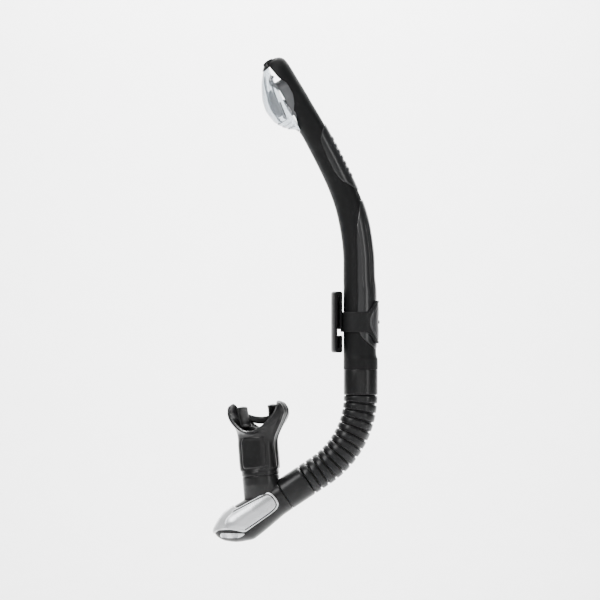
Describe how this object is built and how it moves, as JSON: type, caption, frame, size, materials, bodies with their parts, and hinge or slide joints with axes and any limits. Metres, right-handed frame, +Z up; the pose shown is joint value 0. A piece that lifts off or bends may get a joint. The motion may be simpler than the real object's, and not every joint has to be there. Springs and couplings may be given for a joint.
{
  "type": "snorkel",
  "caption": "Dry-top snorkel with a clear float dome, sliding strap clip, corrugated drop-away hose, purge chamber and mouthpiece.",
  "frame": {"origin": "middle of the strap slot in the keeper clip", "axes": "+Z up along the straight part of the barrel, +X from the strap clip to the barrel's back, +Y across"},
  "size_m": [0.1471, 0.0452, 0.427],
  "materials": {
    "shell_black": "satin black moulding",
    "spine_gloss": "dark grey gloss strip",
    "spine_rib": "dark grey ribbed grip",
    "carrier_grey": "mid-grey moulding",
    "clear_dome": "clear polycarbonate",
    "float_white": "translucent white",
    "pin_steel": "stainless pin",
    "seal_rubber": "soft seal",
    "keeper_rubber": "matt black elastomer",
    "insert_grey": "dark grey inlay",
    "clip_black": "gloss black clip",
    "hose_rubber": "black silicone, semi-gloss",
    "mouth_rubber": "black silicone, soft sheen",
    "cover_bright": "chrome-plated plastic",
    "panel_silver": "satin silver plated plastic",
    "valve_silicone": "thin silicone disc"
  },
  "bodies": {
    "barrel": {"barrel_tube": "shell_black", "spine_upper": "spine_gloss", "spine_ribs": "spine_rib", "spine_lower": "spine_gloss", "valve_carrier": "carrier_grey", "valve_ring": "carrier_grey", "dome_cap": "clear_dome", "dome_latch": "shell_black", "float_pin": "pin_steel"},
    "float": {"float_arm": "float_white", "float_block": "float_white", "float_seal": "seal_rubber"},
    "keeper": {"keeper_band": "keeper_rubber", "keeper_insert": "insert_grey", "keeper_rivet": "clip_black", "clip_pin": "clip_black"},
    "clip": {"strap_clip": "clip_black"},
    "hose": {"flex_hose": "hose_rubber"},
    "lower_unit": {"purge_chamber": "shell_black", "mouthpiece": "mouth_rubber", "purge_cover": "cover_bright", "panel_near": "panel_silver", "panel_far": "panel_silver", "vent_grille": "cover_bright", "purge_spider": "shell_black"},
    "purge_disc": {"purge_valve": "valve_silicone"}
  },
  "joints": [
    {"name": "float_swing", "type": "hinge", "parent": "barrel", "child": "float", "pos_m": [-0.05537, 0, 0.21028], "axis": [0, -1, 0], "range_deg": [0, 8]},
    {"name": "keeper_slide", "type": "slide", "parent": "barrel", "child": "keeper", "axis": [0, 0, 1], "range_m": [-0.006, 0.02]},
    {"name": "clip_swivel", "type": "hinge", "parent": "keeper", "child": "clip", "pos_m": [0.0026, 0, 0], "axis": [1, 0, 0], "range_deg": [-12, 12]},
    {"name": "hose_swivel", "type": "hinge", "parent": "barrel", "child": "hose", "pos_m": [0.0227, 0, -0.05], "axis": [0, 0, 1], "range_deg": [-45, 45]},
    {"name": "hose_flex", "type": "hinge", "parent": "hose", "child": "lower_unit", "pos_m": [0.01033, 0, -0.10068], "axis": [0, 1, 0], "range_deg": [-40, 15], "stiffness_Nm_per_rad": 0.6, "springref_deg": 5.73, "deforming": ["flex_hose"]},
    {"name": "purge_lift", "type": "slide", "parent": "lower_unit", "child": "purge_disc", "axis": [-0.8329, 0, -0.5534], "range_m": [0, 0.0015], "stiffness_N_per_m": 20, "springref_m": -0.0005}
  ]
}
